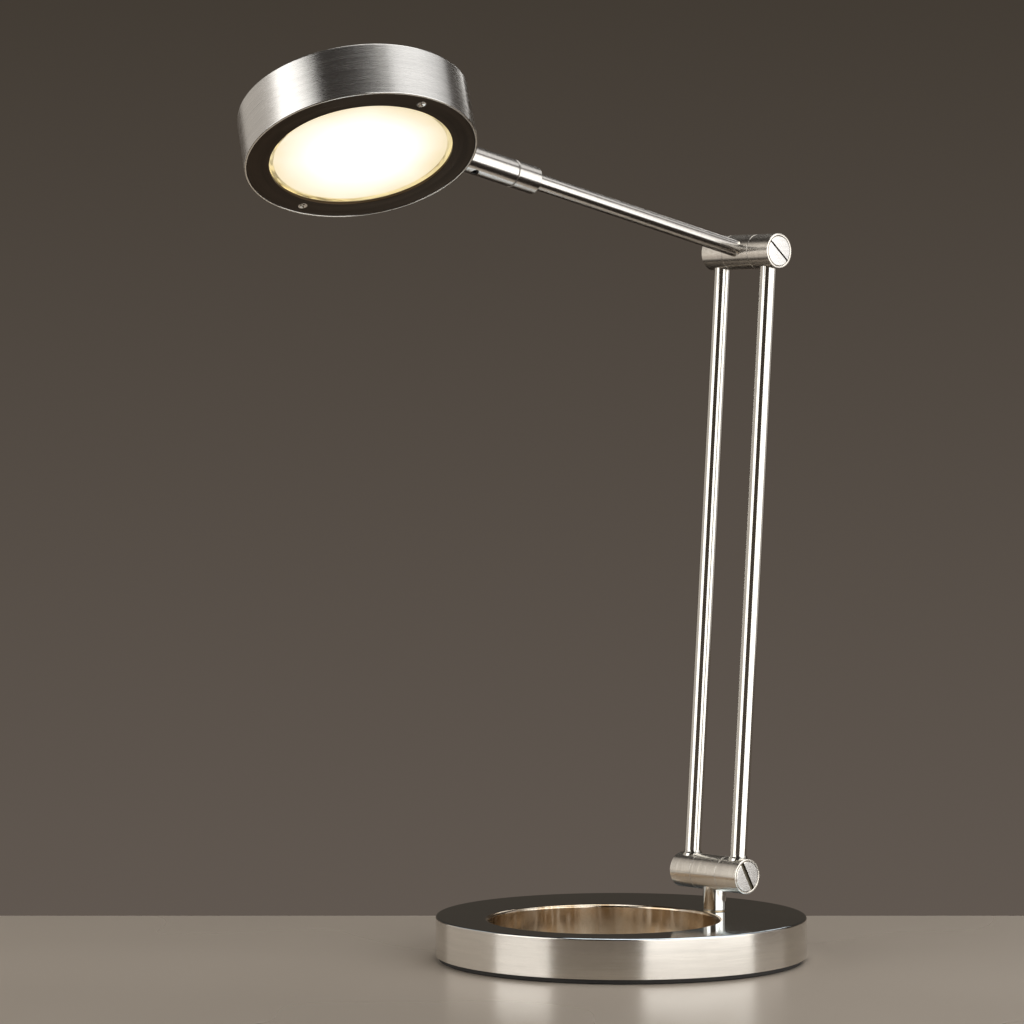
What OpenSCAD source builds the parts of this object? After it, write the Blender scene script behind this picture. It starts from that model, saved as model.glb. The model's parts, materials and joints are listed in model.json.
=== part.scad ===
// Swing arm desk lamp: a ring base, a post that swivels, twin rods, a single arm
// and a drum head that rolls about the arm. Millimetres, +Z up. The origin is on
// the table, on the post's axis. At rest the arm points to -X and the pivots lie
// along Y, with their screw heads at the -Y end.

/* [Base] */
// Diameter of the ring base
base_d = 189; // [160:1:230]
// Height of the metal part of the base
base_h = 20; // [18:0.5:26]
// Width of the ring where it is narrowest
ring_narrow = 18; // [12:0.5:26]
// Width of the ring where it is widest
ring_wide = 54; // [44:0.5:60]
// Distance from the post's axis to the wall of the opening
post_edge = 8.5; // [8:0.1:14]
// Angle at the opening's centre from the widest side of the ring to the post
post_turn = 29; // [0:1:60]
// Angle by which the base is turned under the post
base_turn = 11; // [-60:1:60]
// Thickness of the plated shell
shell_wall = 1.5; // [1:0.1:2]
// Radius of the outer top edge
edge_r = 1; // [0.4:0.1:1.4]
// Radius of the rolled edge round the opening
rim_r = 1.5; // [0.5:0.1:1.8]
// Thickness of the steel plate under the weight
plate_t = 1.5; // [1:0.1:2.5]
// Thickness of the rubber pad
pad_t = 2.5; // [1.5:0.1:4]
// How far the pad is set in from the shell's edges
pad_inset = 1.5; // [0.5:0.1:3]
// Height of the cord inlet above the underside of the metal
inlet_h = 6; // [6:0.5:8]
// Radius of the bore through the cord inlet
inlet_r = 3.2; // [2.5:0.1:3.5]

/* [Post] */
// Diameter of the post
post_d = 12; // [10:0.5:13]
// Height of the lower pivot above the top of the base
pivot_h = 19.5; // [16:0.5:40]
// Diameter of the spigots at both ends of the post
spigot_d = 8; // [7:0.5:8.5]
// Diameter of the passage for the lead through the post
passage_d = 5; // [4.5:0.1:5.5]

/* [Pivots] */
// Diameter of the two barrels
barrel_d = 18; // [17:0.5:24]
// Width of the middle knuckle of a barrel
eye_w = 18; // [15:0.5:24]
// Thickness of a friction washer
washer_t = 0.45; // [0.3:0.05:1]
// Diameter of a pivot screw's shank
pivot_d = 8; // [6:0.5:10]
// Diameter of a pivot screw's head
screw_head_d = 15.4; // [12:0.1:15.6]
// Thickness of a pivot screw's head
screw_head_t = 2.4; // [2:0.1:3]
// Width of the slot in the lower pivot screw
lower_slot_w = 2.4; // [0.8:0.1:2.4]
// Width of the slot in the upper pivot screw
upper_slot_w = 1; // [0.8:0.1:2.4]
// Angle of the slot in the lower pivot screw
lower_slot_turn = 29; // [0:1:90]
// Angle of the slot in the upper pivot screw
upper_slot_turn = 50; // [0:1:90]

/* [Rods and arm] */
// Diameter of the two rods
rod_d = 8.5; // [7:0.1:10.5]
// Distance from the lower pivot to the upper pivot
rod_span = 320; // [250:1:400]
// Angle by which the rods lean back at rest
rod_lean = 4; // [0:1:10]
// Diameter of the arm tube
arm_d = 8.5; // [7:0.1:8.5]
// Wall of the rods and of the arm tube
tube_wall = 1.1; // [0.8:0.1:1.3]
// Distance from the upper pivot to the head's axis
head_reach = 266; // [220:1:330]
// Angle by which the arm rises at rest
arm_rise = 12; // [-10:1:30]
// Diameter of the lead inside the lamp
lead_d = 4; // [3:0.1:4]

/* [Sleeve] */
// Diameter of the sleeve and of the collar behind it
sleeve_d = 14; // [14:0.5:16]
// Length of the collar that is fixed on the arm
collar_l = 14.8; // [8:0.1:25]
// Length of the sleeve, from its rear end to the drum's wall
sleeve_l = 44.3; // [36:0.1:60]
// Gap between the collar and the sleeve
groove_w = 0.4; // [0.3:0.1:1]
// Distance from the drum's wall to the set screw
set_screw_at = 19.5; // [14:0.5:28]

/* [Head] */
// Outer diameter of the drum
drum_d = 111; // [100:1:135]
// Height of the drum
drum_h = 27; // [25:0.5:40]
// Thickness of the drum's wall
drum_wall = 1.2; // [0.8:0.1:1.8]
// Thickness of the drum's top
drum_top_t = 1.5; // [1:0.1:2]
// Angle by which the head is rolled about the arm at rest
head_roll = 26; // [-60:1:60]
// Width of the flat bezel ring
bezel_w = 10.6; // [9:0.1:14]
// Thickness of the bezel
bezel_t = 1.5; // [1:0.1:2]
// Thickness of the glass
glass_t = 4; // [3:0.1:5]
// Angle from the arm to the first bezel screw
bezel_screw_turn = 85; // [60:1:120]
// Number of light-emitting diodes on the board
led_count = 18; // [6:1:24]

/* [Hidden] */

$fn = 96;
eps = 0.01;           // how far a cutting solid runs past a face
running_gap = 0.05;   // radial and axial gap of a running fit
seat_gap = 0.3;       // gap round a piece that drops into place

nickel = "#c9c6bf";
bright = "#dfddd8";
iron = "#4b4a48";
rubber = "#1c1b1a";
bronze = "#b08a4a";
steel = "#a9abad";

// base
base_r = base_d / 2;
opening_r = base_r - (ring_narrow + ring_wide) / 2;
opening_offset = (ring_wide - ring_narrow) / 2;
opening_c = (opening_r + post_edge) * [-cos(base_turn), sin(base_turn), 0];
wide_dir = post_turn - base_turn;
base_c = opening_c + opening_offset * [cos(wide_dir), sin(wide_dir), 0];
base_top = pad_t + base_h;
plate_top = pad_t + plate_t;
weight_top = base_top - shell_wall;
plate_screw_r = 1.5;
plate_screw_l = 9;
plate_screw_turns = [30, 150, 270];

// swivel
spigot_r = spigot_d / 2;
swivel_bush_r = spigot_r + 1.5;
flange_r = post_d / 2 - 0.2;
flange_t = 0.4;
post_foot = base_top + flange_t + running_gap;
nut_r = 6;
nut_t = 4.2;
spring_t = 0.5;
recess_r = nut_r + 0.8;
lead_r = lead_d / 2;
nut_bottom = plate_top + lead_d + 1;
recess_top = nut_bottom + nut_t + spring_t + running_gap;

// cord inlet and the lead from it
inlet_z = pad_t + inlet_h;
inlet_flange_r = inlet_r + 2.2;
inlet_flange_t = 1.5;
inlet_body_r = inlet_r + 1.2;
inlet_body_l = 6;
lead_gap = 3;         // from the grommet to the end of the lead
lead_from = base_c + (base_r - inlet_body_l - lead_gap) * [cos(wide_dir), sin(wide_dir), 0];
base_lead_end_z = plate_top + lead_r + 0.3;

// pivots
barrel_r = barrel_d / 2;
pivot_r = pivot_d / 2;
pivot_bush_r = pivot_r + 1;
pivot_z = base_top + pivot_h;
rod_r = rod_d / 2;
knuckle_cheek = screw_head_t + spring_t + 0.1;
knuckle_w = rod_d + 2 * knuckle_cheek;
knuckle_y = eye_w / 2 + running_gap + washer_t;
rod_y = knuckle_y + knuckle_w / 2;
barrel_end = knuckle_y + knuckle_w;
washer_r = barrel_r - 2;
screw_head_r = screw_head_d / 2;
counterbore_r = screw_head_r + 0.1;
counterbore_t = screw_head_t + spring_t;
thread_end = barrel_end - 3;
socket_floor = pivot_r + 0.6;      // rods and the arm stop here, clear of the screw
eye_socket_floor = pivot_bush_r + 0.4;
slot_depth = 1.1;
end_chamfer = 0.3;

// arm and sleeve, as distances from the upper pivot along the arm
arm_r = arm_d / 2;
drum_r = drum_d / 2;
sleeve_r = sleeve_d / 2;
wall_at = head_reach - drum_r;
sleeve_at = wall_at - sleeve_l;
collar_at = sleeve_at - groove_w - collar_l;
set_screw_t = wall_at - set_screw_at;
tube_end = wall_at - 7.5;
sleeve_bore_end = wall_at - 4.5;
set_screw_r = 2;
dog_r = 1.5;
dog_groove = 0.8;
dog_gap = 0.1;

// drum, in the head's frame: the arm's axis is z = 0 and +X points to the arm
drum_top = sleeve_r;
drum_bottom = drum_top - drum_h;
drum_roof = drum_top - drum_top_t;
drum_edge_r = 0.6;
neck_r = 3.5;
neck_end = drum_r - 6;
neck_bore_r = 2.4;
hex_r = 5.3;
hex_t = 3;
bezel_recess = 0.3;
bezel_bottom = drum_bottom + bezel_recess;
bezel_top = bezel_bottom + bezel_t;
bezel_out_r = drum_r - drum_wall - 0.1;
bezel_in_r = bezel_out_r - bezel_w;
bezel_screw_x = bezel_in_r + bezel_w / 2;
boss_r = 2.8;
bezel_screw_r = 1.3;
bezel_head_r = 2.3;
gasket_t = 0.5;
glass_r = bezel_screw_x - boss_r - 0.6;
glass_bottom = bezel_top + gasket_t;
glass_top = glass_bottom + glass_t;
driver_h = 4.2;
driver_size = [32, 18, driver_h];
driver_bottom = drum_roof - driver_h - 0.2;
spreader_t = 3;
spreader_r = drum_r * 0.65;
pillar_r = 2.5;
pillar_x = spreader_r - 4;
board_t = 1.6;
board_r = spreader_r * 0.62;
board_top = driver_bottom - spreader_t;
board_bottom = board_top - board_t;
led_size = [3.4, 3.4, 0.8];
reflector_t = 0.8;
reflector_top = board_bottom - 0.6;
head_lead_r = 1.8;
bend_overlap = 0.5;   // how far a lead runs past a bend, as a share of its radius

// ---- frames ----

// Where the base's centre is, at the underside of the metal
module at_base() {
    translate([base_c.x, base_c.y, pad_t]) children();
}

// Where the opening's centre is, at the underside of the metal
module at_opening() {
    translate([opening_c.x, opening_c.y, pad_t]) children();
}

// The cord inlet: origin on the base's outer wall, +Z pointing out of it
module at_inlet() {
    translate([base_c.x, base_c.y, inlet_z]) rotate([0, 0, wide_dir]) translate([base_r, 0, 0])
        rotate([0, 90, 0]) children();
}

// The lower pivot, with Z along the rods
module at_rods() {
    translate([0, 0, pivot_z]) rotate([0, rod_lean, 0]) children();
}

// The upper pivot, with the rods' lean taken out
module at_upper() {
    at_rods() translate([0, 0, rod_span]) rotate([0, -rod_lean, 0]) children();
}

// The upper pivot, with -X along the arm
module at_arm() {
    at_upper() rotate([0, arm_rise, 0]) children();
}

// The head's axis on the arm's axis, with +X towards the arm
module at_head() {
    at_arm() translate([-head_reach, 0, 0]) rotate([-head_roll, 0, 0]) children();
}

// A point on the arm, with +Z along the arm towards the head
module on_arm(distance) {
    at_arm() translate([-distance, 0, 0]) rotate([0, -90, 0]) children();
}

// ---- shapes ----

// A cylinder along Y from one end to the other
module along_y(r, from, to) {
    translate([0, from, 0]) rotate([-90, 0, 0]) cylinder(r = r, h = to - from);
}

// A cylinder along Z that starts at a height
module upright(r, from, to) {
    translate([0, 0, from]) cylinder(r = r, h = to - from);
}

// A cylinder along Y with a small chamfer at each end
module chamfered_y(r, from, to) {
    c = end_chamfer;
    translate([0, from, 0]) rotate([-90, 0, 0]) rotate_extrude()
        polygon([[0, 0], [r - c, 0], [r, c], [r, to - from - c], [r - c, to - from], [0, to - from]]);
}

// A disc with a rounded top edge
module rounded_disc(r, h, edge) {
    rotate_extrude() {
        square([r - edge, h]);
        square([r, h - edge]);
        translate([r - edge, h - edge]) circle(r = edge);
    }
}

// The opening's cutter: a cylinder that flares out along the rolled edge
module opening_cutter() {
    translate([0, 0, -1]) cylinder(r = opening_r, h = base_h + 2);
    rotate_extrude() difference() {
        translate([opening_r - 1, base_h - rim_r]) square([rim_r + 1, rim_r + 1]);
        translate([opening_r + rim_r, base_h - rim_r]) circle(r = rim_r);
    }
}

// What fills the ring's shell, set in from its walls, between two heights
module ring_filling(inset, from, to) {
    difference() {
        translate([base_c.x, base_c.y, from]) cylinder(r = base_r - inset, h = to - from);
        translate([opening_c.x, opening_c.y, from - 1])
            cylinder(r = opening_r + inset, h = to - from + 2);
    }
}

// The three places of the plate's screws, midway across the ring
module at_plate_screws() {
    for (turn = plate_screw_turns) {
        dir = [cos(turn), sin(turn)];
        inner = [opening_c.x, opening_c.y] + opening_r * dir;
        outer = [base_c.x, base_c.y] + base_r * dir;
        spot = (inner + outer) / 2;
        translate([spot.x, spot.y, pad_t]) children();
    }
}

// A screw with a flat countersunk head that is flush with z = 0 and a shank upwards
module countersunk(head_r, shank_r, length) {
    rotate_extrude()
        polygon([[0, 0], [head_r, 0], [shank_r, head_r - shank_r], [shank_r, length], [0, length]]);
}

// A lead along a list of points, each stretch running a little past its bends
module lead(points, r) {
    last = len(points) - 2;
    for (i = [0 : last]) {
        step = points[i + 1] - points[i];
        length = norm(step);
        before = i > 0 ? r * bend_overlap : 0;
        after = i < last ? r * bend_overlap : 0;
        translate(points[i]) rotate([0, acos(step.z / length), atan2(step.y, step.x)])
            upright(r, -before, length + after);
    }
}

// ---- base ----

module base_shell() {
    color(nickel) difference() {
        at_base() rounded_disc(base_r, base_h, edge_r);
        at_opening() opening_cutter();
        ring_filling(shell_wall, pad_t - 1, weight_top);
        upright(swivel_bush_r, weight_top - 1, base_top + 1);
        at_inlet() upright(inlet_body_r, -shell_wall - 1, 1);
    }
}

module base_weight() {
    color(iron) difference() {
        ring_filling(shell_wall + seat_gap, plate_top, weight_top);
        upright(swivel_bush_r, plate_top - 1, base_top);
        upright(recess_r, plate_top - 1, recess_top);
        lead_channel();
        at_plate_screws() upright(plate_screw_r, 0, plate_screw_l + 0.5);
    }
}

// The room in the weight for the grommet, and the channel from there to the recess
module lead_channel() {
    half = inlet_body_r + 0.6;
    height = inlet_z + half - plate_top + 1;
    at_inlet() upright(half, -inlet_body_l - lead_gap, 1);
    translate([0, 0, plate_top - 1]) {
        translate([lead_from.x, lead_from.y, 0]) cylinder(r = half, h = height);
        rotate([0, 0, atan2(lead_from.y, lead_from.x)]) translate([0, -half, 0])
            cube([norm(lead_from), 2 * half, height]);
    }
}

module base_plate() {
    color(steel) difference() {
        ring_filling(shell_wall + seat_gap, pad_t, plate_top);
        at_plate_screws() translate([0, 0, -eps]) countersunk(3 + eps, plate_screw_r, plate_t + 1);
    }
}

module base_pad() {
    color(rubber) ring_filling(pad_inset, 0, pad_t);
}

module base_plate_screws() {
    color(steel) at_plate_screws() countersunk(3, plate_screw_r, plate_screw_l);
}

module swivel_bush() {
    color(bronze) difference() {
        union() {
            upright(swivel_bush_r, recess_top, base_top + eps);
            upright(flange_r, base_top, base_top + flange_t);
        }
        upright(spigot_r + running_gap, recess_top - 1, base_top + 1);
    }
}

module cord_grommet() {
    color(rubber) at_inlet() difference() {
        union() {
            upright(inlet_body_r, -inlet_body_l, eps);
            upright(inlet_flange_r, 0.2, inlet_flange_t);
            upright(inlet_body_r, -eps, 0.3);
        }
        upright(inlet_r, -inlet_body_l - 1, inlet_flange_t + 1);
    }
}

module base_lead() {
    color(rubber) lead([[lead_from.x, lead_from.y, inlet_z], [0, 0, base_lead_end_z],
        [0, 0, nut_bottom - 0.3]], lead_r);
}

// ---- post ----

module post() {
    eye_gap = 0.02;
    color(nickel) difference() {
        union() {
            difference() {
                upright(post_d / 2, post_foot, pivot_z);
                translate([0, 0, pivot_z]) along_y(barrel_r + eye_gap, -post_d, post_d);
            }
            upright(spigot_r, nut_bottom, pivot_z - eye_socket_floor);
        }
        upright(passage_d / 2, 0, pivot_z);
    }
}

module eye(socket_r) {
    difference() {
        chamfered_y(barrel_r, -eye_w / 2, eye_w / 2);
        along_y(pivot_bush_r, -eye_w, eye_w);
        upright(socket_r, eye_socket_floor, barrel_r + 1);
    }
}

module eye_bush() {
    difference() {
        along_y(pivot_bush_r, -eye_w / 2, eye_w / 2);
        along_y(pivot_r + running_gap, -eye_w, eye_w);
    }
}

module lower_eye() {
    color(nickel) translate([0, 0, pivot_z]) rotate([180, 0, 0]) eye(spigot_r);
}

module lower_bush() {
    color(bronze) translate([0, 0, pivot_z]) eye_bush();
}

module post_spring_washer() {
    color(steel) difference() {
        upright(nut_r - 0.3, nut_bottom + nut_t, nut_bottom + nut_t + spring_t);
        upright(spigot_r, 0, base_top);
    }
}

module post_nut() {
    slot_w = 1.6;
    color(steel) difference() {
        upright(nut_r, nut_bottom, nut_bottom + nut_t);
        upright(spigot_r, 0, base_top);
        for (turn = [0, 90]) rotate([0, 0, turn])
            translate([-nut_r - 1, -slot_w / 2, nut_bottom - 1]) cube([2 * nut_r + 2, slot_w, 2]);
    }
}

module post_lead() {
    color(rubber) upright(lead_r, nut_bottom, pivot_z - eye_socket_floor - 0.3);
}

// ---- rods ----

// An outer knuckle at the +Y end: the pivot screw's thread ends in it
module threaded_knuckle() {
    difference() {
        chamfered_y(barrel_r, knuckle_y, barrel_end);
        along_y(pivot_r, knuckle_y - 1, thread_end);
        translate([0, rod_y, 0]) upright(rod_r, socket_floor, barrel_r + 1);
    }
}

// An outer knuckle at the -Y end: the pivot screw's head is sunk in it
module headed_knuckle() {
    difference() {
        chamfered_y(barrel_r, -barrel_end, -knuckle_y);
        along_y(pivot_r + 0.1, -barrel_end - 1, 0);
        along_y(counterbore_r, -barrel_end - 1, -barrel_end + counterbore_t);
        translate([0, -rod_y, 0]) upright(rod_r, socket_floor, barrel_r + 1);
    }
}

module rod() {
    difference() {
        upright(rod_r, socket_floor, rod_span - socket_floor);
        upright(rod_r - tube_wall, 0, rod_span);
    }
}

// A pivot screw with its slot turned by an angle
module pivot_screw(slot_w, slot_turn) {
    difference() {
        union() {
            along_y(screw_head_r, -barrel_end, -barrel_end + screw_head_t);
            along_y(pivot_r, -barrel_end + screw_head_t - eps, thread_end - 1);
        }
        translate([0, -barrel_end, 0]) rotate([0, slot_turn, 0])
            translate([-slot_w / 2, -1, -barrel_r])
                cube([slot_w, slot_depth + 1, 2 * barrel_r]);
    }
}

module lower_left_knuckle() {
    color(nickel) at_rods() threaded_knuckle();
}

module lower_right_knuckle() {
    color(nickel) at_rods() headed_knuckle();
}

// The upper knuckles hang on the rods' other ends
module at_rod_tops() {
    at_rods() translate([0, 0, rod_span]) mirror([0, 0, 1]) children();
}

module upper_left_knuckle() {
    color(nickel) at_rod_tops() threaded_knuckle();
}

module upper_right_knuckle() {
    color(nickel) at_rod_tops() headed_knuckle();
}

module rod_left() {
    color(bright) at_rods() translate([0, rod_y, 0]) rod();
}

module rod_right() {
    color(bright) at_rods() translate([0, -rod_y, 0]) rod();
}

module lower_pivot_screw() {
    color(bright) translate([0, 0, pivot_z]) pivot_screw(lower_slot_w, -lower_slot_turn);
}

module upper_pivot_screw() {
    color(bright) at_upper() pivot_screw(upper_slot_w, -upper_slot_turn);
}

module friction_washers() {
    color(rubber) for (height = [0, rod_span]) at_rods() translate([0, 0, height])
        for (side = [-1, 1]) difference() {
            inner = side > 0 ? knuckle_y - washer_t : -knuckle_y;
            along_y(washer_r, inner, inner + washer_t);
            along_y(pivot_r + 0.1, inner - 1, inner + washer_t + 1);
        }
}

module spring_washers() {
    from = -barrel_end + screw_head_t;
    color(steel) for (height = [0, rod_span]) at_rods() translate([0, 0, height]) difference() {
        along_y(screw_head_r - 0.6, from, from + spring_t);
        along_y(pivot_r + 0.1, from - 1, from + spring_t + 1);
    }
}

module rod_lead() {
    color(rubber) at_rods() translate([0, rod_y, 0])
        upright(lead_r, socket_floor + 0.3, rod_span - socket_floor - 0.3);
}

// ---- arm ----

module upper_eye() {
    color(nickel) at_arm() rotate([0, -90, 0]) eye(arm_r);
}

module upper_bush() {
    color(bronze) at_arm() eye_bush();
}

module arm_tube() {
    groove = 2 * (dog_r + dog_gap + 0.1);
    color(nickel) difference() {
        on_arm(0) upright(arm_r, eye_socket_floor, tube_end);
        on_arm(0) upright(arm_r - tube_wall, 0, tube_end + 1);
        on_arm(set_screw_t) difference() {
            upright(arm_r + 1, -groove / 2, groove / 2);
            upright(arm_r - dog_groove, -groove, groove);
        }
    }
}

module arm_collar() {
    c = end_chamfer;
    color(nickel) on_arm(collar_at) difference() {
        rotate_extrude() polygon([[0, 0], [sleeve_r - c, 0], [sleeve_r, c], [sleeve_r, collar_l - c],
            [sleeve_r - c, collar_l], [0, collar_l]]);
        upright(arm_r, -1, collar_l + 1);
    }
}

module arm_lead() {
    color(rubber) on_arm(0) upright(lead_r, eye_socket_floor + 0.3, tube_end - 1);
}

// ---- head ----

// A cylinder along the arm in the head's frame, between two distances from the head's axis
module along_x(r, from, to) {
    translate([from, 0, 0]) rotate([0, 90, 0]) cylinder(r = r, h = to - from);
}

module sleeve() {
    rear = drum_r + sleeve_l;
    c = end_chamfer;
    color(nickel) at_head() difference() {
        union() {
            difference() {
                union() {
                    along_x(sleeve_r, drum_r - 2, rear - c);
                    translate([rear - c, 0, 0]) rotate([0, 90, 0])
                        cylinder(r1 = sleeve_r, r2 = sleeve_r - c, h = c);
                }
                upright(drum_r, -drum_h, drum_h);
            }
            along_x(neck_r, neck_end, drum_r + 1);
        }
        along_x(arm_r + running_gap, head_reach - sleeve_bore_end, rear + 1);
        along_x(neck_bore_r, neck_end - 1, rear);
        translate([drum_r + set_screw_at, 0, 0]) upright(set_screw_r, -sleeve_r - 1, 0);
    }
}

module set_screw() {
    dog_tip = -(arm_r - dog_groove + dog_gap);
    dog_root = -(arm_r + running_gap + 0.1);
    color(steel) at_head() translate([drum_r + set_screw_at, 0, 0]) difference() {
        union() {
            upright(set_screw_r, -sleeve_r + 0.4, dog_root);
            upright(dog_r, dog_root - eps, dog_tip);
        }
        translate([0, 0, -sleeve_r]) cylinder(r = 1.15, h = 1.6, $fn = 6);
    }
}

module sleeve_nut() {
    from = sqrt(pow(drum_r - drum_wall, 2) - pow(hex_r, 2)) - hex_t;
    color(steel) at_head() difference() {
        translate([from, 0, 0]) rotate([0, 90, 0]) cylinder(r = hex_r, h = hex_t, $fn = 6);
        along_x(neck_r, from - 1, from + hex_t + 1);
    }
}

// The places of the two bezel screws, at the bezel's lower face
module at_bezel_screws() {
    for (turn = [bezel_screw_turn, bezel_screw_turn + 180])
        rotate([0, 0, turn]) translate([bezel_screw_x, 0, bezel_bottom]) children();
}

module shade() {
    boss_l = drum_roof - bezel_top;
    color(nickel) at_head() difference() {
        union() {
            difference() {
                translate([0, 0, drum_bottom]) rounded_disc(drum_r, drum_h, drum_edge_r);
                upright(drum_r - drum_wall, drum_bottom - 1, drum_roof);
            }
            at_bezel_screws() upright(boss_r, bezel_t, bezel_t + boss_l + eps);
        }
        at_bezel_screws() upright(bezel_screw_r, 0, 9);
        along_x(neck_r, drum_r - 5, drum_r + 5);
    }
}

module bezel() {
    color(nickel) at_head() difference() {
        upright(bezel_out_r, bezel_bottom, bezel_top);
        upright(bezel_in_r, bezel_bottom - 1, bezel_top + 1);
        at_bezel_screws() translate([0, 0, -eps])
            countersunk(bezel_head_r + eps, bezel_screw_r, bezel_t + 1);
    }
}

module bezel_screws() {
    slot_w = 0.6;
    color(steel) at_head() at_bezel_screws() difference() {
        countersunk(bezel_head_r, bezel_screw_r, 8);
        translate([-slot_w / 2, -bezel_head_r, -1]) cube([slot_w, 2 * bezel_head_r, 1.5]);
    }
}

module glass() {
    color("#fff2cf") at_head() upright(glass_r, glass_bottom, glass_top);
}

module glass_gasket() {
    color(rubber) at_head() difference() {
        upright(glass_r, bezel_top, glass_bottom);
        upright(bezel_in_r + 0.4, bezel_top - 1, glass_bottom + 1);
    }
}

module reflector() {
    wide = glass_r - 0.4;
    narrow = board_r + 1;
    t = reflector_t;
    color("white") at_head() rotate_extrude()
        polygon([[wide, glass_top], [narrow, reflector_top], [narrow - t - 1, reflector_top],
            [narrow - t - 1, reflector_top - t], [narrow - t, reflector_top - t],
            [wide - 2 * t, glass_top]]);
}

module led_board() {
    color("white") at_head() upright(board_r, board_bottom, board_top);
}

// The diodes: one in the middle of the board and the others in a ring or two
module leds() {
    inner = floor((led_count - 1) / 3);
    outer = led_count - 1 - inner;
    drop = board_bottom - led_size.z / 2;
    color("#ffe08a") at_head() translate([0, 0, drop]) {
        cube(led_size, center = true);
        for (i = [0 : inner - 1]) rotate([0, 0, 360 * i / inner])
            translate([board_r * 0.38, 0, 0]) cube(led_size, center = true);
        for (i = [0 : outer - 1]) rotate([0, 0, 360 * i / outer])
            translate([board_r * 0.74, 0, 0]) cube(led_size, center = true);
    }
}

module heat_spreader() {
    color(steel) at_head() {
        upright(spreader_r, board_top, driver_bottom);
        for (turn = [45 : 90 : 315]) rotate([0, 0, turn])
            translate([pillar_x, 0, 0]) upright(pillar_r, driver_bottom - eps, drum_roof);
    }
}

module led_driver() {
    color("#e8e6e0") at_head() translate([-driver_size.x / 2, -driver_size.y / 2, driver_bottom])
        cube(driver_size);
}

module head_lead() {
    height = driver_bottom + head_lead_r + 0.4;
    color(rubber) at_head() lead([[drum_r + 8, 0, 0], [neck_end - 2, 0, 0],
        [spreader_r + 3, 0, height], [driver_size.x / 2, 0, height]], head_lead_r);
}

base_shell();
base_weight();
base_plate();
base_pad();
base_plate_screws();
swivel_bush();
cord_grommet();
base_lead();
post();
lower_eye();
lower_bush();
post_spring_washer();
post_nut();
post_lead();
lower_left_knuckle();
lower_right_knuckle();
rod_left();
rod_right();
upper_left_knuckle();
upper_right_knuckle();
lower_pivot_screw();
upper_pivot_screw();
friction_washers();
spring_washers();
rod_lead();
upper_eye();
upper_bush();
arm_tube();
arm_collar();
arm_lead();
sleeve();
set_screw();
sleeve_nut();
shade();
bezel();
bezel_screws();
glass();
glass_gasket();
reflector();
led_board();
leds();
heat_spreader();
led_driver();
head_lead();
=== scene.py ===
"""Swing arm desk lamp in nickel: its visible pieces, their finishes, the light and the camera.

Each piece is modelled in millimetres in its own frame, with +Z along the axis it is turned
on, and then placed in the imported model's frame, in metres.
"""
import json
import math

import bmesh
import bpy
from mathutils import Matrix, Vector


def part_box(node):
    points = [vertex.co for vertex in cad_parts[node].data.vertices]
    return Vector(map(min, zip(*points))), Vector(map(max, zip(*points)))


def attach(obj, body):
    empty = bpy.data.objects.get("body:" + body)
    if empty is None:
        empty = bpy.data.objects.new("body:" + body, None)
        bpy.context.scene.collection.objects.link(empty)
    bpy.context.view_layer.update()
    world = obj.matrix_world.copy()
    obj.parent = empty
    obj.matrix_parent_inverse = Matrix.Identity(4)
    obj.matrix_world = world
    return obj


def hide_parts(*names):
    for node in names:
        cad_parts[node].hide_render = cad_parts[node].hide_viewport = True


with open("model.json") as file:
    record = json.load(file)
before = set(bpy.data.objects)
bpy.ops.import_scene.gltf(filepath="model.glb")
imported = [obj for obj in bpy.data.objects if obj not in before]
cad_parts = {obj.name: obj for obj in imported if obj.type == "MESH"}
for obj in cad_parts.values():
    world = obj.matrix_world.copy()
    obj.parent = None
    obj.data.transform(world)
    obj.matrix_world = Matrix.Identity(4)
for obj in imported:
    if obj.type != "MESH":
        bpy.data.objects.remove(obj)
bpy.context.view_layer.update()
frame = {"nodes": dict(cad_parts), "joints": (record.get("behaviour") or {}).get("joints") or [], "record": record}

MM = 0.001
TURN = math.tau
TURNING_MAP = "turning"  # UV map: once round along U, MAP_SPAN across along V
MAP_SPAN = 100.0
SIDES = 160  # round a large turned piece
SMALL_SIDES = 96
TINY_SIDES = 48
PAST = 4.0  # how far a cutter runs on past what it opens
HAIR = 0.02  # keeps two pieces from sharing a face
SHARP_ANGLE = 38.0

# ---- sizes in millimetres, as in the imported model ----

BASE_R = 94.5
OPENING_R = 58.5
PAD_T = 2.5
PAD_INSET = 1.5
BASE_TOP = 22.5
SHELL_WALL = 1.5
EDGE_R = 1.0
RIM_R = 1.5
BUSH_R = 5.5
POST_R = 6.0
POST_FOOT = 22.95
SPIGOT_R = 4.0
PASSAGE_R = 2.5
NUT_BOTTOM = 9.0

BARREL_R = 9.0
EYE_W = 18.0
EYE_BORE_R = 5.0
EYE_SOCKET_FLOOR = 5.4
KNUCKLE_Y = 9.5
LIP = 0.15  # how far the outer skins reach over the friction washers
LIP_R = 7.3
BARREL_END = 24.0
ROD_Y = 16.75
ROD_R = 4.25
TUBE_WALL = 1.1
ROD_SOCKET_FLOOR = 4.6
SHANK_R = 4.0
THREAD_END = 21.0
SCREW_HEAD_R = 7.7
SCREW_HEAD_T = 2.4
SCREW_FACE_R = 7.4
SLOT_DEPTH = 1.1
LOWER_SLOT_W = 2.4
LOWER_SLOT_TURN = 29.0
UPPER_SLOT_W = 1.0
UPPER_SLOT_TURN = 50.0
SHANK_ROOM = 0.1
COUNTERBORE_R = 7.8
COUNTERBORE_T = 2.9

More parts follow.
